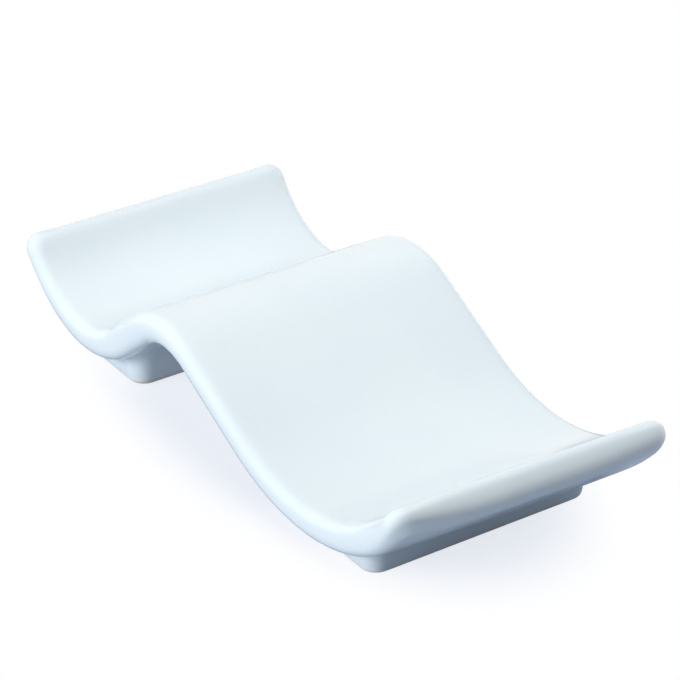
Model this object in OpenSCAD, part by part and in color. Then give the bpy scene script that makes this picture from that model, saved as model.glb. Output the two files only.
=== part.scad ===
// Wave-shaped porcelain rest with a smaller and a larger trough, for the table.
// Millimetres. X runs along the length from the smaller trough to the larger one,
// Y runs across the width, Z is up. The origin is on the table under the middle of the whole part.

/* [Plate] */
// Width of the plate across the wave
plate_w = 48; // [40:1:56]
// Thickness of the plate, the same all along the wave
plate_t = 5.4; // [5:0.1:6.4]
// Rounding of the plate's upper edges
top_edge_r = 1.9; // [1:0.1:2.2]
// Rounding of the plate's lower edges
low_edge_r = 2.5; // [0.8:0.1:2.7]
// Rounding of the plate's four corners, seen square on to the lips
corner_r = 3.3; // [2.8:0.1:3.6]

/* [Smaller trough] */
// Steepness of the upturned lip beside the smaller trough
small_lip_angle = 54; // [46:1:60]
// Straight length of that lip
small_lip_len = 3.8; // [3.7:0.1:8]
// Radius of the smaller trough, on its upper face
small_trough_r = 16.6; // [13:0.2:20]

/* [Crest] */
// Steepness of the rise from the smaller trough to the crest
rise_angle = 36; // [31:0.5:42]
// Straight length of that rise
rise_len = 9.8; // [7:0.2:11.6]
// Radius of the crest, on its upper face
crest_r = 18; // [15:0.2:21]
// Steepness of the long slope from the crest to the larger trough
slope_angle = 27; // [24:0.5:30]

/* [Larger trough] */
// Radius of the larger trough, on its upper face
large_trough_r = 35.8; // [31:0.2:41]
// Steepness of the upturned lip beside the larger trough
large_lip_angle = 43; // [36:1:48]
// Straight length of that lip
large_lip_len = 3.8; // [3.7:0.1:10]

/* [Feet] */
// Height of the smaller trough's lowest underside line above the table
small_foot_h = 3.3; // [2.6:0.1:4.4]
// Height of the larger trough's lowest underside line above the table
large_foot_h = 2.2; // [1.6:0.1:3]
// Wall thickness of both foot rings
rim_w = 3; // [2.4:0.1:4]
// Rounding of the corners of the foot rings
foot_corner_r = 3; // [1:0.1:4]
// Distance of the foot rings from the plate's long sides
foot_inset = 4.3; // [3:0.1:6]
// Slope of the underside where the smaller foot ring meets it, on the lip's side
small_foot_lip_angle = 20; // [17:0.5:26]
// Slope of the underside where the smaller foot ring meets it, on the crest's side
small_foot_crest_angle = 27.5; // [22:0.5:30]
// Slope of the underside where the larger foot ring meets it, on the crest's side
large_foot_crest_angle = 19; // [15:0.5:22]
// Slope of the underside where the larger foot ring meets it, on the lip's side
large_foot_lip_angle = 18.5; // [15:0.5:26]

/* [Hidden] */
$fn = 96;
glaze = [0.93, 0.96, 0.98];
foot_glaze = [0.82, 0.87, 0.92];

// The tools cut a little past the faces that they open
overrun = plate_t / 2;
// Straight stretches run this far into the curved ones, and are this much slimmer all round
joint_lap = 0.3;
slim = 0.01;

// The wave is a chain of arcs and straights on the plate's upper face.
// It is worked out from the lowest line of the smaller trough, at x = 0.
trough_z = small_foot_h + plate_t;
small_centre = [0, trough_z + small_trough_r];
small_lip_root = small_centre + small_trough_r * [-sin(small_lip_angle), -cos(small_lip_angle)];
rise_start = small_centre + small_trough_r * [sin(rise_angle), -cos(rise_angle)];
rise_end = rise_start + rise_len * [cos(rise_angle), sin(rise_angle)];
crest_centre = rise_end + crest_r * [sin(rise_angle), -cos(rise_angle)];
slope_start = crest_centre + crest_r * [sin(slope_angle), cos(slope_angle)];
// The long slope is as long as the drop from the crest to the larger trough needs
slope_end_z = large_foot_h + plate_t + large_trough_r * (1 - cos(slope_angle));
slope_len = (slope_start[1] - slope_end_z) / sin(slope_angle);
slope_end = slope_start + slope_len * [cos(slope_angle), -sin(slope_angle)];
large_centre = slope_end + large_trough_r * [sin(slope_angle), cos(slope_angle)];
large_lip_root = large_centre + large_trough_r * [sin(large_lip_angle), -cos(large_lip_angle)];

// The lower corner of each lip reaches furthest out, and the part is centred between the two
function reach(angle, length) =
    length * cos(angle) + (plate_t - low_edge_r) * sin(angle) + low_edge_r * (1 - cos(angle));
x_min = small_lip_root[0] - reach(small_lip_angle, small_lip_len);
x_max = large_lip_root[0] + reach(large_lip_angle, large_lip_len);
x_mid = (x_min + x_max) / 2;

// Half of the plate's section, from the middle out to one rounded long edge.
// The upper face lies on y = 0. A skin is taken off all round.
module edge_section(width, skin = 0) {
    intersection() {
        translate([0, skin - plate_t]) square([width - skin, plate_t - 2 * skin]);
        union() {
            translate([0, -plate_t]) square([width - low_edge_r, plate_t / 2]);
            translate([0, -plate_t / 2]) square([width - top_edge_r, plate_t / 2]);
            translate([0, low_edge_r - plate_t]) square([width, plate_t - low_edge_r - top_edge_r]);
            translate([width - low_edge_r, low_edge_r - plate_t]) circle(low_edge_r - skin);
            translate([width - top_edge_r, -top_edge_r]) circle(top_edge_r - skin);
        }
    }
}

module plate_section(skin = 0) {
    edge_section(plate_w / 2, skin);
    mirror([1, 0]) edge_section(plate_w / 2, skin);
}

// A straight stretch of plate from a point of the wave, climbing at an angle
module straight(from, angle, length) {
    translate([from[0], 0, from[1]]) rotate([0, -angle, 0])
        translate([-joint_lap, 0, 0])
            rotate([90, 0, 90]) linear_extrude(length + 2 * joint_lap) plate_section(slim);
}

// A hollow stretch of plate, turned about an axis above it
module trough(centre, radius, left_angle, right_angle) {
    translate([centre[0], 0, centre[1]]) rotate([90, 0, 0]) rotate([0, 0, -90 - left_angle])
        rotate_extrude(angle = left_angle + right_angle)
            translate([radius, 0]) rotate(90) plate_section();
}

// A raised stretch of plate, turned about an axis below it
module crest(centre, radius, left_angle, right_angle) {
    translate([centre[0], 0, centre[1]]) rotate([90, 0, 0]) rotate([0, 0, 90 - right_angle])
        rotate_extrude(angle = left_angle + right_angle)
            translate([radius, 0]) rotate(-90) plate_section();
}

// The last stretch of the plate, along +X, with its end edge and corners rounded
module lip(length) {
    corner_y = plate_w / 2 - corner_r;
    translate([-joint_lap, 0, 0])
        rotate([90, 0, 90]) linear_extrude(length - corner_r + joint_lap) plate_section(slim);
    translate([length - corner_r, 0, 0]) {
        rotate([90, 0, 0]) linear_extrude(2 * corner_y, center = true) edge_section(corner_r, slim);
        translate([0, corner_y, 0]) rotate_extrude(angle = 90) edge_section(corner_r, slim);
        translate([0, -corner_y, 0]) rotate([0, 0, -90])
            rotate_extrude(angle = 90) edge_section(corner_r, slim);
    }
}

module wave_plate() {
    color(glaze) translate([-x_mid, 0, 0]) {
        translate([small_lip_root[0], 0, small_lip_root[1]]) rotate([0, 0, 180])
            rotate([0, -small_lip_angle, 0]) lip(small_lip_len);
        trough(small_centre, small_trough_r, small_lip_angle, rise_angle);
        straight(rise_start, rise_angle, rise_len);
        crest(crest_centre, crest_r, rise_angle, slope_angle);
        straight(slope_start, -slope_angle, slope_len);
        trough(large_centre, large_trough_r, slope_angle, large_lip_angle);
        translate([large_lip_root[0], 0, large_lip_root[1]])
            rotate([0, -large_lip_angle, 0]) lip(large_lip_len);
    }
}

// A rectangle with rounded corners, from x0 to x1 and as wide as given
module rounded_rect(x0, x1, width, radius) {
    translate([x0 + radius, -width / 2]) square([x1 - x0 - 2 * radius, width]);
    translate([x0, radius - width / 2]) square([x1 - x0, width - 2 * radius]);
    for (x = [x0 + radius, x1 - radius], y = [radius - width / 2, width / 2 - radius])
        translate([x, y]) circle(radius);
}

// A closed foot ring on the table, cut away above by the underside of its trough.
// It reaches out to where the underside slopes at the two angles.
module foot_ring(centre, radius, left_angle, right_angle) {
    seat_r = radius + plate_t;
    x0 = -seat_r * sin(left_angle);
    x1 = seat_r * sin(right_angle);
    height = centre[1] - seat_r * cos(max(left_angle, right_angle)) + overrun;
    width = plate_w - 2 * foot_inset;
    inner_r = max(foot_corner_r - rim_w, foot_corner_r / 3);
    translate([centre[0] - x_mid, 0, 0]) difference() {
        linear_extrude(height) rounded_rect(x0, x1, width, foot_corner_r);
        translate([0, 0, -overrun]) linear_extrude(height + 2 * overrun)
            rounded_rect(x0 + rim_w, x1 - rim_w, width - 2 * rim_w, inner_r);
        translate([0, 0, centre[1]]) rotate([90, 0, 0]) cylinder(h = plate_w, r = seat_r, center = true);
    }
}

module small_foot() {
    color(foot_glaze)
        foot_ring(small_centre, small_trough_r, small_foot_lip_angle, small_foot_crest_angle);
}

module large_foot() {
    color(foot_glaze)
        foot_ring(large_centre, large_trough_r, large_foot_crest_angle, large_foot_lip_angle);
}

wave_plate();
small_foot();
large_foot();
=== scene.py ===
"""Looks of a wave-shaped porcelain table rest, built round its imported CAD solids.

Metres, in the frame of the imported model: X along the length from the smaller trough to the
larger one, Y across the width, Z up from the table.
"""

import logging
from dataclasses import dataclass, field
from enum import Enum
from math import copysign, cos, hypot, pi, radians, sin, sqrt

import bmesh
import bpy
from bmesh.types import BMEdge, BMesh, BMFace, BMLayerItem, BMVert
from mathutils import Matrix, Vector


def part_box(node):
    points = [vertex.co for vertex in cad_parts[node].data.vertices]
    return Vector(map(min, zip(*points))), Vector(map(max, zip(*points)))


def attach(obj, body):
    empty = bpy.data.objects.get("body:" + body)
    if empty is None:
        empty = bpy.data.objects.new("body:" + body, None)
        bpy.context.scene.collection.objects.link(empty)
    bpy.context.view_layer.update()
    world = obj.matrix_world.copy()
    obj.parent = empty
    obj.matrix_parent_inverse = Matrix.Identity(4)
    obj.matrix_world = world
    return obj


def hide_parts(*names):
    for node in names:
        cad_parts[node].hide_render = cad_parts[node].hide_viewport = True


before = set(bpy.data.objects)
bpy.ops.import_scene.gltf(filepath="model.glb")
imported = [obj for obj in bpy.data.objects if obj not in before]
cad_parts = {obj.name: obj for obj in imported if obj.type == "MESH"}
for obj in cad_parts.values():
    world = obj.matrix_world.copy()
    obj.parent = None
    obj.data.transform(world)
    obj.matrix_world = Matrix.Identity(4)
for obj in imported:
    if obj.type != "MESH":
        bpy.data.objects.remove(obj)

log = logging.getLogger("wave_rest")

Socket = bpy.types.NodeSocket
Span = tuple[float, float]
Triple = tuple[float, float, float]
Colour = tuple[float, float, float, float]

MM = 0.001
ROOT_BODY = "root"
PHOTO_SIDE_PX = 680
FULL_SPAN: Span = (0.0, 1.0)
NOISE_SPAN: Span = (0.3, 0.7)
WHITE: Colour = (1.0, 1.0, 1.0, 1.0)
PAGE_STRENGTH = 1.0


class Node(Enum):
    """Names of the CAD nodes."""

    PLATE = "wave_plate"
    SMALL_FOOT = "small_foot"
    LARGE_FOOT = "large_foot"


class Slot(Enum):
    """Names of the record's material slots."""

    GLAZE = "white_glaze"
    FOOT = "foot_glaze"


class Skin(Enum):
    """Which skin of the plate a face belongs to, kept on a face layer."""

    UPPER = 1
    LOWER = 2
    RIM = 3


class Operation(Enum):
    """How one value is worked out from two, by Blender's names."""

    ADD = "ADD"
    MULTIPLY = "MULTIPLY"
    LARGER = "MAXIMUM"


class Mixed(Enum):
    """What is mixed, by Blender's names of it on a mix node and on that node's sockets."""

    COLOUR = ("RGBA", "RGBA")
    VALUE = ("FLOAT", "VALUE")


def eased(share: float) -> float:
    """Give a share from 0 to 1 a soft start and end."""
    return share * share * (3 - 2 * share)


def climb(angle: float) -> Vector:
    """Give the direction in which the plate leads on towards +X where it climbs at an angle."""
    return Vector((cos(angle), 0, sin(angle)))


def upward(angle: float) -> Vector:
    """Give the direction square to the plate's upper face where it climbs at an angle."""
    return Vector((-sin(angle), 0, cos(angle)))


def edges_of(geometry: list[object]) -> list[BMEdge]:
    """Pick the edges out of an operator's result."""
    return [item for item in geometry if isinstance(item, BMEdge)]


def place_object(name: str, data: bpy.types.ID) -> bpy.types.Object:
    """Put a mesh, a lamp or a camera into the scene.

    Args:
        name: The object's name.
        data: The mesh, lamp or camera.

    Returns:
        The object, at the origin.
    """
    placed = bpy.data.objects.new(name, data)
    bpy.context.scene.collection.objects.link(placed)
    return placed


@dataclass(frozen=True)
class Grain:
    """How fine a noise is: its patches to a metre and its number of finer layers."""

    scale: float
    detail: float


@dataclass(frozen=True)
class NodeGraph:
    """A small helper that adds shader nodes and wires to a material or world."""

    tree: bpy.types.NodeTree

    def add(self, kind: str, **settings: object) -> bpy.types.Node:
        """Add a node and set its properties.

        Args:
            kind: Blender's identifier of the node type.
            settings: Properties of the node by name.

        Returns:
            The new node.
        """
        node = self.tree.nodes.new(kind)
        for name, value in settings.items():
            setattr(node, name, value)
        return node

    def wire(self, source: Socket, target: Socket) -> None:
        """Connect an output to an input."""
        self.tree.links.new(source, target)

    def noise(self, coords: Socket, grain: Grain) -> Socket:
        """Add a noise.

        Args:
            coords: The coordinates it reads.
            grain: How fine it is.

        Returns:
            The noise's grey output.
        """
        node = self.add("ShaderNodeTexNoise")
        node.inputs["Scale"].default_value = grain.scale
        node.inputs["Detail"].default_value = grain.detail
        self.wire(coords, node.inputs["Vector"])
        return node.outputs["Fac"]

    def remap(self, value: Socket, source: Span, target: Span = FULL_SPAN) -> Socket:
        """Stretch a value from one span to another, clamped, with soft ends.

        Args:
            value: The value to stretch.
            source: The span it comes in.
            target: The span it goes to.

        Returns:
            The stretched value.
        """
        node = self.add("ShaderNodeMapRange", interpolation_type="SMOOTHSTEP")
        self.wire(value, node.inputs["Value"])
        for name, number in zip(("From Min", "From Max", "To Min", "To Max"), source + target):
            node.inputs[name].default_value = number
        return node.outputs["Result"]

    def blend(self, share: Socket, first: Socket | Colour, second: Socket | Colour | float,
              mixed: Mixed = Mixed.COLOUR) -> Socket:
        """Mix two colours, or two values, by a share.

        Args:
            share: 0 gives the first, 1 the second.
            first: A colour or an output.
            second: A colour, a value or an output.
            mixed: Whether colours or values are mixed.

        Returns:
            The mixed colour or value.
        """
        data_type, socket_type = mixed.value
        node = self.add("ShaderNodeMix", data_type=data_type, clamp_factor=True)
        self.wire(share, node.inputs["Factor"])
        for name, value in (("A", first), ("B", second)):
            socket = next(s for s in node.inputs if s.name == name and s.type == socket_type)
            if isinstance(value, Socket):
                self.wire(value, socket)
            else:
                socket.default_value = value
        return next(s for s in node.outputs if s.type == socket_type)

    def work_out(self, operation: Operation, first: Socket, second: Socket) -> Socket:
        """Work out one value from two.

        Args:
            operation: How it is worked out.
            first: A value.
            second: A value.

        Returns:
            The result.
        """
        node = self.add("ShaderNodeMath", operation=operation.value)
        self.wire(first, node.inputs[0])
        self.wire(second, node.inputs[1])
        return node.outputs["Value"]

    def either(self, share: Socket, first: Socket, second: Socket) -> Socket:
        """Mix two shaders by a share.

        Args:
            share: 0 gives the first shader, 1 the second.
            first: A shader.
            second: A shader.

        Returns:
            The mixed shader.
        """
        node = self.add("ShaderNodeMixShader")
        for socket, value in zip(node.inputs, (share, first, second)):
            self.wire(value, socket)
        return node.outputs["Shader"]

    def bump(self, height: Socket, depth: float, under: Socket | None = None) -> Socket:
        """Turn a height into a bent normal.

        Args:
            height: The height, from 0 to 1.
            depth: What a height of 1 stands for, in metres.
            under: The normal of the layer below, if there is one.

        Returns:
            The bent normal.
        """
        node = self.add("ShaderNodeBump")
        node.inputs["Distance"].default_value = depth
        self.wire(height, node.inputs["Height"])
        if under is not None:
            self.wire(under, node.inputs["Normal"])
        return node.outputs["Normal"]

    def page_white(self, kind: str) -> bpy.types.Node:
        """Add a white light of its own, as bright as a white page.

        Args:
            kind: Blender's identifier of the node type.

        Returns:
            The new node.
        """
        node = self.add(kind)
        node.inputs["Color"].default_value = WHITE
        node.inputs["Strength"].default_value = PAGE_STRENGTH
        return node


def new_material(name: str) -> tuple[bpy.types.Material, NodeGraph, bpy.types.Node]:
    """Start a node material with one shader.

    Args:
        name: The material's name.

    Returns:
        The material, its graph and its shader node.
    """
    material = bpy.data.materials.new(name)
    material.use_nodes = True
    graph = NodeGraph(material.node_tree)
    return material, graph, material.node_tree.nodes["Principled BSDF"]


@dataclass(frozen=True)
class GlazeLayer:
    """What a glaze hands on to the shader."""

    coords: Socket
    colour: Socket
    gloss: Socket
    relief: Socket


@dataclass(frozen=True)
class PorcelainGlaze:
    """Clear glossy glaze over cool white porcelain."""

    name: str = "porcelain_glaze"
    tone: Colour = (0.805, 0.872, 0.900, 1.0)
    pooled_tone: Colour = (0.78, 0.852, 0.886, 1.0)
    clouds: Grain = Grain(38.0, 3.0)
    cloud_span: Span = (0.38, 0.66)
    roughness: Span = (0.10, 0.17)
    gloss_patches: Grain = Grain(160.0, 2.0)
    ripples: Grain = Grain(160.0, 1.0)
    ripple_depth: float = 0.06 * MM
    peel: Grain = Grain(900.0, 1.0)
    peel_depth: float = 0.004 * MM
    speck_scale: float = 420.0
    speck_span: Span = (0.03, 0.09)
    speck_depth: float = 0.03 * MM
    refraction: float = 1.5
    coat: float = 0.35
    coat_roughness: float = 0.04

    def surface(self, graph: NodeGraph, shader: bpy.types.Node) -> GlazeLayer:
        """Work out the glaze's colour, gloss and relief, and set its clear coat.

        Args:
            graph: The material's graph.
            shader: Its shader node.

        Returns:
            The outputs that the shader, or a layer over the glaze, takes.
        """
        coords = graph.add("ShaderNodeTexCoord").outputs["Object"]
        pooled = graph.remap(graph.noise(coords, self.clouds), self.cloud_span)
        colour = graph.blend(pooled, self.tone, self.pooled_tone)
        gloss = graph.remap(graph.noise(coords, self.gloss_patches), NOISE_SPAN, self.roughness)
        ripple = graph.bump(graph.noise(coords, self.ripples), self.ripple_depth)
        peel = graph.bump(graph.noise(coords, self.peel), self.peel_depth, ripple)
        cells = graph.add("ShaderNodeTexVoronoi", feature="F1")
        cells.inputs["Scale"].default_value = self.speck_scale
        graph.wire(coords, cells.inputs["Vector"])
        pits = graph.remap(cells.outputs["Distance"], self.speck_span)
        specks = graph.bump(pits, self.speck_depth, peel)
        shader.inputs["IOR"].default_value = self.refraction
        shader.inputs["Coat Weight"].default_value = self.coat
        shader.inputs["Coat Roughness"].default_value = self.coat_roughness
        return GlazeLayer(coords, colour, gloss, specks)

    def material(self) -> bpy.types.Material:
        """Make the glaze as a material of its own.

        Returns:
            The material.
        """
        material, graph, shader = new_material(self.name)
        glaze = self.surface(graph, shader)
        graph.wire(glaze.colour, shader.inputs["Base Color"])
        graph.wire(glaze.gloss, shader.inputs["Roughness"])
        graph.wire(glaze.relief, shader.inputs["Normal"])
        return material


@dataclass(frozen=True)
class FootGlaze(PorcelainGlaze):
    """The plate's glaze on a foot, in darker tones as painted shade under the plate, wiped off the
    standing rim, where the fired clay is bare.
    """

    name: str = "foot_glaze"
    # Both tones are darker than the plate's glaze: painted shade under the plate.
    tone: Colour = (0.76, 0.83, 0.87, 1.0)
    pooled_tone: Colour = (0.73, 0.805, 0.85, 1.0)
    bare_tone: Colour = (0.70, 0.68, 0.63, 1.0)
    bare_roughness: float = 0.75
    line_height: float = 0.7 * MM
    line_fade: float = 0.75
    line_wander: float = 0.25 * MM
    wander: Grain = Grain(228.0, 2.0)
    clay_grain: Grain = Grain(2600.0, 2.0)
    grain_depth: float = 0.04 * MM

    def bare_share(self, graph: NodeGraph, coords: Socket) -> Socket:
        """Tell bare clay from glaze along a wandering line above the table.

        Args:
            graph: The material's graph.
            coords: The coordinates of the place.

        Returns:
            1 on bare clay and 0 on glaze.
        """
        split = graph.add("ShaderNodeSeparateXYZ")
        graph.wire(coords, split.inputs["Vector"])
        wander = graph.remap(graph.noise(coords, self.wander), NOISE_SPAN,
                             (-self.line_wander, self.line_wander))
        height = graph.work_out(Operation.ADD, split.outputs["Z"], wander)
        return graph.remap(height, (self.line_height, self.line_height * self.line_fade))

    def material(self) -> bpy.types.Material:
        """Make the glaze with its bare rim as a material of its own.

        Returns:
            The material.
        """
        material, graph, shader = new_material(self.name)
        glaze = self.surface(graph, shader)
        bare = self.bare_share(graph, glaze.coords)
        colour = graph.blend(bare, glaze.colour, self.bare_tone)
        graph.wire(colour, shader.inputs["Base Color"])
        roughness = graph.blend(bare, glaze.gloss, self.bare_roughness, Mixed.VALUE)
        graph.wire(roughness, shader.inputs["Roughness"])
        grain = graph.work_out(Operation.MULTIPLY, graph.noise(glaze.coords, self.clay_grain), bare)
        relief = graph.bump(grain, self.grain_depth, glaze.relief)
        graph.wire(relief, shader.inputs["Normal"])
        return material


@dataclass(frozen=True)
class FloorPaper:
    """Pale paper that keeps the rest's shadow, has painted bluish shade in its glow round the rest,
    and is white further out.

    From below it is clear, and light comes up through it, so the underside can be looked at.
    """

    name: str = "pale_floor"
    bounce_tone: Colour = (0.37, 0.43, 0.54, 1.0)
    bounce_roughness: float = 0.9
    bounce_gloss: float = 0.0
    paper_tone: Colour = (0.97, 0.975, 1.0, 1.0)
    # Bluish tone of the glow near the rest, fading to white further out: painted shade.
    painted_shade_glow_tone: Colour = (0.955, 0.985, 1.05, 1.0)
    glow_share: float = 0.76
    rest_reach: Triple = (58 * MM, 28 * MM, 1.0)
    shadow_reach: Span = (0.76, 1.15)
    mirror_reach: Span = (1.2, 2.6)

    def spread(self, graph: NodeGraph) -> Socket:
        """Measure how far a place on the floor is from the rest, whose outline is at about 1.

        Args:
            graph: The material's graph.

        Returns:
            The distance, as a share of the rest's reach.
        """
        rests = graph.add("ShaderNodeMapping")
        rests.inputs["Scale"].default_value = [1 / reach for reach in self.rest_reach]
        graph.wire(graph.add("ShaderNodeTexCoord").outputs["Object"], rests.inputs["Vector"])
        away = graph.add("ShaderNodeVectorMath", operation="LENGTH")
        graph.wire(rests.outputs["Vector"], away.inputs[0])
        return away.outputs["Value"]

    def pictured(self, graph: NodeGraph, spread: Socket) -> Socket:
        """Make the floor as the camera sees it.

        Args:
            graph: The material's graph.
            spread: The distance from the rest.

        Returns:
            The shader of the visible floor.
        """
        paper = graph.add("ShaderNodeBsdfDiffuse")
        paper.inputs["Color"].default_value = self.paper_tone
        glow = graph.page_white("ShaderNodeEmission")
        # Near the rest the glow takes the bluish tone, which is painted shade, and turns white
        # further out.
        distance = graph.remap(spread, self.shadow_reach)
        graph.wire(graph.blend(distance, self.painted_shade_glow_tone, WHITE), glow.inputs["Color"])
        share = graph.remap(spread, self.shadow_reach, (self.glow_share, 1.0))
        return graph.either(share, paper.outputs["BSDF"], glow.outputs["Emission"])

    def unseen(self, graph: NodeGraph, spread: Socket, bounce: Socket,
               is_glossy: Socket) -> Socket:
        """Make the floor as everything but the camera meets it, white in reflections further out.

        Args:
            graph: The material's graph.
            spread: The distance from the rest.
            bounce: The shader that throws light back up.
            is_glossy: 1 where the floor is seen in a reflection.

        Returns:
            The shader of the unseen floor.
        """
        beyond = graph.remap(spread, self.mirror_reach)
        mirrored = graph.work_out(Operation.MULTIPLY, is_glossy, beyond)
        glow = graph.page_white("ShaderNodeEmission")
        return graph.either(mirrored, bounce, glow.outputs["Emission"])

    def material(self) -> bpy.types.Material:
        """Make the paper as a material.

        Returns:
            The material.
        """
        material, graph, shader = new_material(self.name)
        shader.inputs["Base Color"].default_value = self.bounce_tone
        shader.inputs["Roughness"].default_value = self.bounce_roughness
        shader.inputs["Specular IOR Level"].default_value = self.bounce_gloss
        path = graph.add("ShaderNodeLightPath")
        spread = self.spread(graph)
        unseen = self.unseen(graph, spread, shader.outputs["BSDF"], path.outputs["Is Glossy Ray"])
        above = graph.either(path.outputs["Is Camera Ray"], unseen, self.pictured(graph, spread))
        below = graph.add("ShaderNodeNewGeometry").outputs["Backfacing"]
        clear = graph.work_out(Operation.LARGER, below, path.outputs["Is Shadow Ray"])
        glass = graph.add("ShaderNodeBsdfTransparent")
        whole = graph.either(clear, above, glass.outputs["BSDF"])
        graph.wire(whole, material.node_tree.nodes["Material Output"].inputs["Surface"])
        return material


def finish_piece(bm: BMesh, name: str, material: bpy.types.Material,
                 levels: int) -> bpy.types.Object:
    """Turn a built mesh into a smooth piece that rides on the root body.

    Args:
        bm: The mesh, which is used up.
        name: The piece's name.
        material: Its material.
        levels: How many times it is smoothly subdivided.

    Returns:
        The piece.
    """
    mesh = bpy.data.meshes.new(name)
    bm.to_mesh(mesh)
    bm.free()
    mesh.shade_smooth()
    mesh.materials.append(material)
    piece = place_object(name, mesh)
    smoothing = piece.modifiers.new("soft_glaze", "SUBSURF")
    smoothing.levels = levels
    smoothing.render_levels = levels
    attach(piece, ROOT_BODY)
    return piece


@dataclass(frozen=True)
class LipEnd:
    """The end of a lip on the plate's upper face, and its outward and upward directions."""

    tip: Vector
    out: Vector
    up: Vector

    def inset(self, point: Vector) -> float:
        """Measure how far a point lies back from the lip's end, along the plate."""
        return (self.tip - point).dot(self.out)

    def depth(self, point: Vector) -> float:
        """Measure how deep a point lies below the upper face."""
        return (self.tip - point).dot(self.up)


@dataclass
class Wave:
    """The plate's side view: a chain of arcs and straights on its upper face."""

    left_end: float
    thickness: float = 5.4 * MM
    small_lip_angle: float = radians(54)
    small_lip_len: float = 3.8 * MM
    small_trough_r: float = 16.6 * MM
    rise_angle: float = radians(36)
    rise_len: float = 9.8 * MM
    crest_r: float = 18 * MM
    slope_angle: float = radians(27)
    large_trough_r: float = 35.8 * MM
    large_lip_angle: float = radians(43)
    large_lip_len: float = 3.8 * MM
    small_foot_h: float = 3.3 * MM
    large_foot_h: float = 2.2 * MM
    low_edge_r: float = 2.5 * MM
    small_centre: Vector = field(init=False)
    crest_centre: Vector = field(init=False)
    large_centre: Vector = field(init=False)
    slope_len: float = field(init=False)
    small_lip: LipEnd = field(init=False)
    large_lip: LipEnd = field(init=False)

    def __post_init__(self) -> None:
        """Work out the arcs' centres and the lips, from where the smaller lip ends at the left."""
        angle = self.small_lip_angle
        reach = (self.small_lip_len * cos(angle) + (self.thickness - self.low_edge_r) * sin(angle)
                 + self.low_edge_r * (1 - cos(angle)))
        self.small_centre = Vector((self.left_end + reach + self.small_trough_r * sin(angle), 0,
                                    self.small_foot_h + self.thickness + self.small_trough_r))
        rise_end = (self.on_arc(self.small_centre, self.small_trough_r, self.rise_angle)
                    + self.rise_len * climb(self.rise_angle))
        self.crest_centre = rise_end - self.crest_r * upward(self.rise_angle)
        slope_start = self.crest_centre + self.crest_r * upward(-self.slope_angle)
        slope_end_z = (self.large_foot_h + self.thickness
                       + self.large_trough_r * (1 - cos(self.slope_angle)))
        self.slope_len = (slope_start.z - slope_end_z) / sin(self.slope_angle)
        slope_end = slope_start + self.slope_len * climb(-self.slope_angle)
        self.large_centre = slope_end + self.large_trough_r * upward(-self.slope_angle)
        self.small_lip = self.lip_end(self.small_centre, self.small_trough_r,
                                      -self.small_lip_angle, self.small_lip_len)
        self.large_lip = self.lip_end(self.large_centre, self.large_trough_r,
                                      self.large_lip_angle, self.large_lip_len)

    @staticmethod
    def on_arc(centre: Vector, radius: float, angle: float) -> Vector:
        """Give the point of a trough's arc where the plate climbs at an angle."""
        return centre - radius * upward(angle)

    def lip_end(self, centre: Vector, radius: float, angle: float, length: float) -> LipEnd:
        """Find the end of a lip.

        Args:
            centre: The centre of the trough's arc.
            radius: The arc's radius.
            angle: The lip's climb towards +X, negative for the smaller lip.
            length: The length of the lip's straight part.

        Returns:
            The lip's end.
        """
        out = copysign(1, angle) * climb(angle)
        return LipEnd(self.on_arc(centre, radius, angle) + length * out, out, upward(angle))


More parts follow.
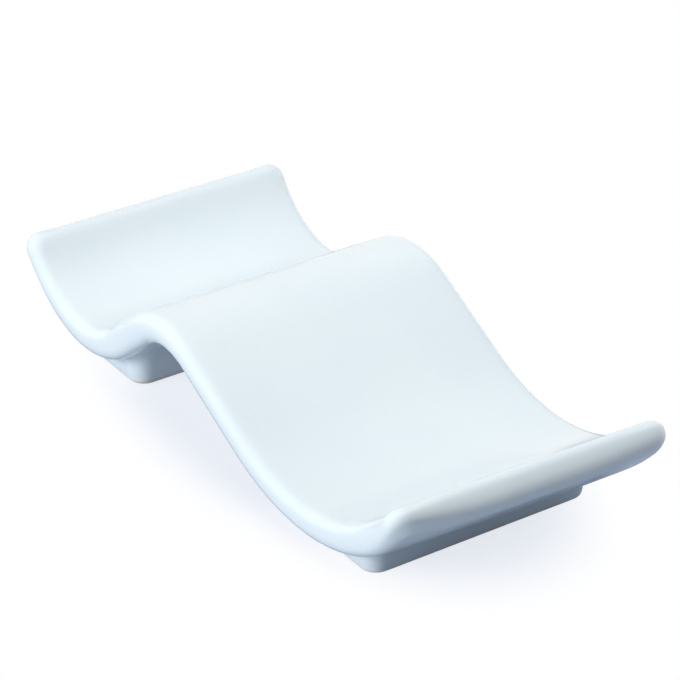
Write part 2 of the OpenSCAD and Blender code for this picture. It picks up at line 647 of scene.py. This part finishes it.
@dataclass
class WavePlate:
    """The glazed plate: an even sheet bent into a wave, with rounded edges and corners."""

    wave: Wave
    glaze: bpy.types.Material
    width: float
    top_edge_r: float = 1.9 * MM
    corner_r: float = 3.3 * MM
    corner_turn: float = radians(60)
    columns: int = 10
    step_angle: float = radians(4.5)
    least_arc_steps: int = 6
    straight_step: float = 3.4 * MM
    corner_segments: int = 7
    edge_segments: int = 5
    softening: float = 0.5
    soft_passes: int = 1
    corner_passes: int = 4
    corner_reach: float = 7 * MM
    corner_depth: float = 0.8 * MM
    thinning: float = 1.3 * MM
    thinning_start: float = 1 / 3
    thinning_reach: float = 15 * MM
    far_thinning_share: float = 0.4
    tuck: float = 0.9 * MM
    filling: float = 0.5 * MM
    filling_reach: float = 5 * MM
    smoothing_levels: int = 2

    def first_line(self, bm: BMesh) -> list[BMEdge]:
        """Draw the smaller lip's end line across the width.

        Args:
            bm: The empty mesh.

        Returns:
            The line's edges.
        """
        half = Vector((0, self.width / 2, 0))
        line = bm.edges.new([bm.verts.new(self.wave.small_lip.tip + way * half)
                             for way in (-1, 1)])
        bmesh.ops.subdivide_edges(bm, edges=[line], cuts=self.columns - 1)
        return list(bm.edges)

    def run_straight(self, bm: BMesh, line: list[BMEdge], angle: float,
                     length: float) -> list[BMEdge]:
        """Lead the sheet on in a straight stretch.

        Args:
            bm: The mesh being built.
            line: The edges that lead.
            angle: The climb towards +X.
            length: The stretch's length.

        Returns:
            The edges that lead on.
        """
        steps = max(1, round(length / self.straight_step))
        for _ in range(steps):
            made = bmesh.ops.extrude_edge_only(bm, edges=line)["geom"]
            verts = [item for item in made if isinstance(item, BMVert)]
            bmesh.ops.translate(bm, verts=verts, vec=climb(angle) * (length / steps))
            fresh = set(verts)
            line = [edge for edge in edges_of(made) if set(edge.verts) <= fresh]
        return line

    def run_arc(self, bm: BMesh, line: list[BMEdge], centre: Vector,
                turn: float) -> list[BMEdge]:
        """Lead the sheet on round an arc.

        Args:
            bm: The mesh being built.
            line: The edges that lead.
            centre: The arc's centre.
            turn: The angle turned, positive over a crest and negative through a trough.

        Returns:
            The edges that lead on.
        """
        steps = max(self.least_arc_steps, round(abs(turn) / self.step_angle))
        made = bmesh.ops.spin(bm, geom=line, cent=centre, axis=(0, 1, 0), dvec=(0, 0, 0),
                              angle=turn, space=Matrix.Identity(4), steps=steps,
                              use_merge=False, use_normal_flip=False, use_duplicate=False)
        return edges_of(made["geom_last"])

    def bend_sheet(self, bm: BMesh) -> None:
        """Lead the first line along the whole wave.

        Args:
            bm: The empty mesh.
        """
        w = self.wave
        line = self.first_line(bm)
        line = self.run_straight(bm, line, -w.small_lip_angle, w.small_lip_len)
        line = self.run_arc(bm, line, w.small_centre, -(w.small_lip_angle + w.rise_angle))
        line = self.run_straight(bm, line, w.rise_angle, w.rise_len)
        line = self.run_arc(bm, line, w.crest_centre, w.rise_angle + w.slope_angle)
        line = self.run_straight(bm, line, -w.slope_angle, w.slope_len)
        line = self.run_arc(bm, line, w.large_centre, -(w.slope_angle + w.large_lip_angle))
        self.run_straight(bm, line, w.large_lip_angle, w.large_lip_len)

    def thicken(self, bm: BMesh) -> BMLayerItem:
        """Give the sheet its even thickness downwards.

        Args:
            bm: The sheet.

        Returns:
            The face layer that says which skin a face belongs to.
        """
        layer = bm.faces.layers.int.new("skin")
        upper = list(bm.faces)
        for face in upper:
            face.normal_update()
            if face.normal.z < 0:
                face.normal_flip()
        made = bmesh.ops.solidify(bm, geom=upper, thickness=self.wave.thickness)["geom"]
        lower = [item for item in made if isinstance(item, BMFace)]
        bm.normal_update()
        for skin, faces in ((Skin.RIM, bm.faces), (Skin.UPPER, upper), (Skin.LOWER, lower)):
            for face in faces:
                face[layer] = skin.value
        bmesh.ops.recalc_face_normals(bm, faces=bm.faces)
        return layer

    def round_off(self, bm: BMesh, layer: BMLayerItem) -> list[BMVert]:
        """Round the four corners, then the upper and the lower edge all the way round.

        Args:
            bm: The thick plate.
            layer: The face layer that says which skin a face belongs to.

        Returns:
            The points of the rounded edges.
        """
        rounded = []
        for skin, least_turn, radius, segments in (
                (Skin.RIM, self.corner_turn, self.corner_r, self.corner_segments),
                (Skin.UPPER, 0.0, self.top_edge_r, self.edge_segments),
                (Skin.LOWER, 0.0, self.wave.low_edge_r, self.edge_segments)):
            meeting = sorted((skin.value, Skin.RIM.value))
            edges = [edge for edge in bm.edges if len(edge.link_faces) == 2
                     and sorted(face[layer] for face in edge.link_faces) == meeting
                     and edge.calc_face_angle() >= least_turn]
            made = bmesh.ops.bevel(bm, geom=edges, offset=radius, offset_type="OFFSET",
                                   affect="EDGES", segments=segments, profile=0.5,
                                   material=-1, clamp_overlap=False)
            rounded += made["verts"]
        return [vert for vert in dict.fromkeys(rounded) if vert.is_valid]

    def nearness(self, lip: LipEnd, point: Vector, reach: float) -> float:
        """Give 1 at the nearer corner of a lip, 0 at a reach from it and less further off."""
        return 1 - hypot(lip.inset(point), self.width / 2 - abs(point.y)) / reach

    def thin_corners(self, bm: BMesh) -> None:
        """Thin the larger lip's two corners from below, as fettling leaves them, the +Y one less.

        Args:
            bm: The plate.
        """
        lip = self.wave.large_lip
        for vert in bm.verts:
            near = self.nearness(lip, vert.co, self.thinning_reach)
            deep = lip.depth(vert.co) / self.wave.thickness - self.thinning_start
            deep = min(1.0, deep / (1 - self.thinning_start))
            if near > 0 and deep > 0:
                inwards, share = (1, 1.0) if vert.co.y < 0 else (-1, self.far_thinning_share)
                ease = eased(near) * eased(deep) * share
                vert.co += lip.up * (self.thinning * ease)
                vert.co += (Vector((0, inwards, 0)) - lip.out) * (self.tuck * ease * near)

    def fill_corners(self, bm: BMesh) -> None:
        """Fill out the crisper corners: the smaller lip's two and the larger one's at +Y.

        Args:
            bm: The plate.
        """
        for lip, ways in ((self.wave.small_lip, (-1, 1)), (self.wave.large_lip, (1,))):
            for vert in bm.verts:
                near = self.nearness(lip, vert.co, self.filling_reach)
                way = 1 if vert.co.y > 0 else -1
                if near > 0 and way in ways:
                    vert.co += (lip.out + Vector((0, way, 0))) * (self.filling * eased(near))

    def soften(self, bm: BMesh, rounded: list[BMVert]) -> None:
        """Melt the rounded edges a little, and the larger lip's upper corners more.

        Args:
            bm: The plate.
            rounded: The points of its rounded edges.
        """
        lip = self.wave.large_lip
        corners = [vert for vert in bm.verts
                   if self.nearness(lip, vert.co, self.corner_reach) > 0
                   and lip.depth(vert.co) < self.corner_depth]
        for verts, passes in ((rounded, self.soft_passes), (corners, self.corner_passes)):
            for _ in range(passes):
                bmesh.ops.smooth_vert(bm, verts=verts, factor=self.softening, use_axis_x=True,
                                      use_axis_y=True, use_axis_z=True)

    def build(self) -> bpy.types.Object:
        """Make the plate, dress it and put it in the place of its CAD node.

        Returns:
            The piece.
        """
        bm = bmesh.new()
        self.bend_sheet(bm)
        layer = self.thicken(bm)
        rounded = self.round_off(bm, layer)
        self.thin_corners(bm)
        self.soften(bm, rounded)
        self.fill_corners(bm)
        piece = finish_piece(bm, "glazed_plate", self.glaze, self.smoothing_levels)
        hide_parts(Node.PLATE.value)
        return piece


@dataclass(frozen=True)
class WallRow:
    """One row of a foot's wall.

    It lies a distance inwards from the outer wall, at a share of the height from the table to
    the seat and a length above that.
    """

    inwards: float
    share: float
    lift: float


@dataclass
class FootRing:
    """A foot ring of glazed clay under one trough, with a soft fillet where it meets the plate.

    It was set by hand, so the wall on its +X side stands out further at the -Y end, by the skew,
    and its +Y end may reach a little further out than the -Y end.
    """

    name: str
    node: Node
    seat_centre: Vector
    seat_r: float
    glaze: bpy.types.Material
    skew: float
    far_reach: float = 0.0
    rim_w: float = 3 * MM
    corner_r: float = 3 * MM
    least_corner_r: float = 1 * MM
    flare: float = 1.9 * MM
    inner_flare: float = 0.8 * MM
    flare_share: float = 0.55
    draft: float = 0.2 * MM
    toe_r: float = 0.6 * MM
    toe_steps: tuple[Span, ...] = ((0.0, 1.0), (0.3, 0.35), (1.0, 0.1))
    sink: float = 0.12 * MM
    corner_segments: int = 6
    straight_cuts: int = 11
    flare_rows: int = 5
    smoothing_levels: int = 2

    def seat_height(self, x: float) -> float:
        """Give the height of the plate's underside above a place on the table."""
        across = x - self.seat_centre.x
        return self.seat_centre.z - sqrt(self.seat_r ** 2 - across ** 2)

    def fillet(self, wall: float, reach: float) -> list[WallRow]:
        """Curve a wall out to the seat.

        Args:
            wall: The wall's distance inwards from the outer wall.
            reach: How far inwards the curve leads, negative where it leads outwards.

        Returns:
            The curve's rows, from the top down.
        """
        angles = [pi / 2 * row / self.flare_rows for row in range(self.flare_rows + 1)]
        return [WallRow(wall + reach * (1 - sin(a)), 1 - self.flare_share * (1 - cos(a)),
                        self.sink * cos(a)) for a in angles]

    def toe(self, wall: float, way: int) -> list[WallRow]:
        """Round a wall's foot.

        Args:
            wall: The wall's distance inwards from the outer wall.
            way: 1 where the rim lies inwards of the wall, -1 where it lies outwards.

        Returns:
            The rounding's rows, from the wall to the rim.
        """
        return [WallRow(wall + way * along * self.toe_r, 0.0, up * self.toe_r)
                for along, up in self.toe_steps]

    def profile(self) -> list[WallRow]:
        """List the ring wall's rows, from the inner top down, over the rim and up outside.

        Returns:
            The rows.
        """
        rim = WallRow((self.rim_w + self.draft) / 2, 0.0, 0.0)
        inside = self.fillet(self.rim_w, self.inner_flare) + self.toe(self.rim_w, -1)
        outside = self.fillet(0.0, -self.flare) + self.toe(self.draft, 1)
        return [*inside, rim, *reversed(outside)]

    def outline(self, bm: BMesh, size: Vector, radius: float) -> list[BMEdge]:
        """Draw a rectangle with rounded corners and cut-up straight sides round the origin.

        Args:
            bm: The mesh being built.
            size: The rectangle's length and width.
            radius: The corners' radius.

        Returns:
            The rectangle's edges.
        """
        corners = bmesh.ops.create_grid(bm, x_segments=1, y_segments=1, size=0.5)["verts"]
        bmesh.ops.scale(bm, verts=corners, vec=size)
        bmesh.ops.bevel(bm, geom=corners, offset=radius, offset_type="OFFSET",
                        affect="VERTICES", segments=self.corner_segments, profile=0.5,
                        material=-1)
        face = max(bm.faces, key=lambda f: len(f.verts))
        edges = list(face.edges)
        straight = [edge for edge in edges if edge.calc_length() > radius]
        cut = bmesh.ops.subdivide_edges(bm, edges=straight, cuts=self.straight_cuts)
        bmesh.ops.delete(bm, geom=[face], context="FACES_ONLY")
        return list(dict.fromkeys(edges + edges_of(cut["geom_split"])))

    def loop(self, bm: BMesh, low: Vector, high: Vector, row: WallRow) -> list[BMEdge]:
        """Draw one row of the wall all round the foot.

        Args:
            bm: The mesh being built.
            low: Lowest corner of the foot's outer wall.
            high: Highest corner of it.
            row: The row.

        Returns:
            The row's edges.
        """
        length, width = high.x - low.x, high.y - low.y
        size = Vector((length - 2 * row.inwards, width - 2 * row.inwards, 1))
        middle = Vector(((low.x + high.x) / 2, (low.y + high.y) / 2, 0))
        edges = self.outline(bm, size, max(self.corner_r - row.inwards, self.least_corner_r))
        for vert in dict.fromkeys(vert for edge in edges for vert in edge.verts):
            vert.co += middle
            across, along = (vert.co.x - low.x) / length, (high.y - vert.co.y) / width
            vert.co.x += self.skew * across * along
            vert.co.z = row.share * self.seat_height(vert.co.x) + row.lift
        return edges

    def build(self) -> bpy.types.Object:
        """Make the foot, dress it and put it in the place of its CAD node.

        Returns:
            The piece.
        """
        low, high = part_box(self.node.value)
        high = high + Vector((0, self.far_reach, 0))
        bm = bmesh.new()
        rows = [self.loop(bm, low, high, row) for row in self.profile()]
        for first, second in zip(rows, rows[1:] + rows[:1]):
            bmesh.ops.bridge_loops(bm, edges=first + second)
        bmesh.ops.recalc_face_normals(bm, faces=bm.faces)
        piece = finish_piece(bm, self.name, self.glaze, self.smoothing_levels)
        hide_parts(self.node.value)
        return piece


@dataclass(frozen=True)
class SoftLamp:
    """A square lamp that gives soft light and isn't seen itself, nor mirrored in the glaze."""

    name: str
    place: Triple
    side: float
    power: float

    def hang(self, aim: Vector, tone: Triple) -> None:
        """Hang the lamp.

        Args:
            aim: The point that it faces.
            tone: The colour of its light.
        """
        light = bpy.data.lights.new(self.name, "AREA")
        light.size = self.side
        light.energy = self.power
        light.color = tone
        lamp = place_object(self.name, light)
        lamp.visible_glossy = False
        lamp.visible_camera = False
        lamp.location = self.place
        lamp.rotation_euler = (aim - Vector(self.place)).to_track_quat("-Z", "Y").to_euler()


@dataclass
class Studio:
    """White sweep, soft lamps and the camera at the photograph's viewing angle."""

    floor_side: float = 8.0
    sky_tone: Colour = (0.70, 0.85, 1.0, 1.0)
    sky_strength: float = 0.05
    light_tone: Triple = (0.965, 0.99, 1.0)
    lamps: tuple[SoftLamp, ...] = (
        SoftLamp("near_side", (-0.06, -1.17, 0.26), side=1.0, power=15.9),
        SoftLamp("top", (-0.005, 0.02, 0.27), side=0.22, power=0.465),
        SoftLamp("far_side", (0.18, 1.02, 0.60), side=1.0, power=7.4),
        SoftLamp("below", (0.0, 0.0, -1.2), side=1.0, power=2.0),
    )
    aim_height: float = 10 * MM
    camera_place: Triple = (0.45279, -0.26185, 0.29452)
    camera_azimuth: float = radians(59.777)
    camera_tilt: float = radians(28.108)
    camera_roll: float = radians(-2.615)
    focal_px: float = 3800.5
    sensor: float = 36.0
    clip: Span = (0.05, 50.0)

    def floor(self) -> None:
        """Lay the pale floor, which keeps the rest's shadow, has painted bluish shade round the
        rest and is white further out.
        """
        bm = bmesh.new()
        bmesh.ops.create_grid(bm, x_segments=1, y_segments=1, size=self.floor_side / 2)
        mesh = bpy.data.meshes.new("floor")
        bm.to_mesh(mesh)
        bm.free()
        mesh.materials.append(FloorPaper().material())
        sweep = place_object("floor", mesh)

    def sky(self) -> None:
        """Set the soft light from all round, and the white that is seen behind the floor."""
        world = bpy.data.worlds.new("studio")
        world.use_nodes = True
        graph = NodeGraph(world.node_tree)
        light = world.node_tree.nodes["Background"]
        light.inputs["Color"].default_value = self.sky_tone
        light.inputs["Strength"].default_value = self.sky_strength
        white = graph.page_white("ShaderNodeBackground")
        path = graph.add("ShaderNodeLightPath")
        looking = graph.work_out(Operation.LARGER, path.outputs["Is Camera Ray"],
                                 path.outputs["Is Glossy Ray"])
        whole = graph.either(looking, light.outputs["Background"], white.outputs["Background"])
        graph.wire(whole, world.node_tree.nodes["World Output"].inputs["Surface"])
        bpy.context.scene.world = world

    def camera(self) -> None:
        """Set up the camera."""
        lens = bpy.data.cameras.new("camera")
        lens.sensor_width = self.sensor
        lens.lens = self.focal_px * self.sensor / PHOTO_SIDE_PX
        lens.clip_start, lens.clip_end = self.clip
        az, el = self.camera_azimuth, self.camera_tilt
        look = Vector((-sin(az) * cos(el), cos(az) * cos(el), -sin(el)))
        right = Vector((cos(az), sin(az), 0))
        above = right.cross(look)
        c, s = cos(self.camera_roll), sin(self.camera_roll)
        right, above = c * right + s * above, c * above - s * right
        turn = Matrix((right, above, -look)).transposed()
        camera = place_object("camera", lens)
        camera.matrix_world = Matrix.Translation(self.camera_place) @ turn.to_4x4()
        bpy.context.scene.camera = camera

    def build(self) -> None:
        """Set the whole studio."""
        self.floor()
        self.sky()
        self.camera()
        for lamp in self.lamps:
            lamp.hang(Vector((0, 0, self.aim_height)), self.light_tone)
        bpy.context.scene.view_settings.view_transform = "Standard"


def main() -> None:
    """Build the rest's pieces and the studio in order."""
    logging.basicConfig(level=logging.INFO, format="%(message)s")
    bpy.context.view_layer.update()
    plate_low, plate_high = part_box(Node.PLATE.value)
    wave = Wave(left_end=plate_low.x)
    glaze = PorcelainGlaze().material()
    # The feet get the darker glaze, which is painted shade under the plate.
    foot_glaze = FootGlaze().material()
    makers = [
        WavePlate(wave, glaze, width=plate_high.y - plate_low.y),
        FootRing("small_trough_foot", Node.SMALL_FOOT, wave.small_centre,
                 wave.small_trough_r + wave.thickness, foot_glaze, skew=0.9 * MM),
        FootRing("large_trough_foot", Node.LARGE_FOOT, wave.large_centre,
                 wave.large_trough_r + wave.thickness, foot_glaze, skew=1.4 * MM,
                 far_reach=1.0 * MM),
    ]
    for maker in makers:
        piece = maker.build()
        log.info("built %s: %d faces before smoothing", piece.name, len(piece.data.polygons))
    Studio().build()


if __name__ == "__main__":
    main()
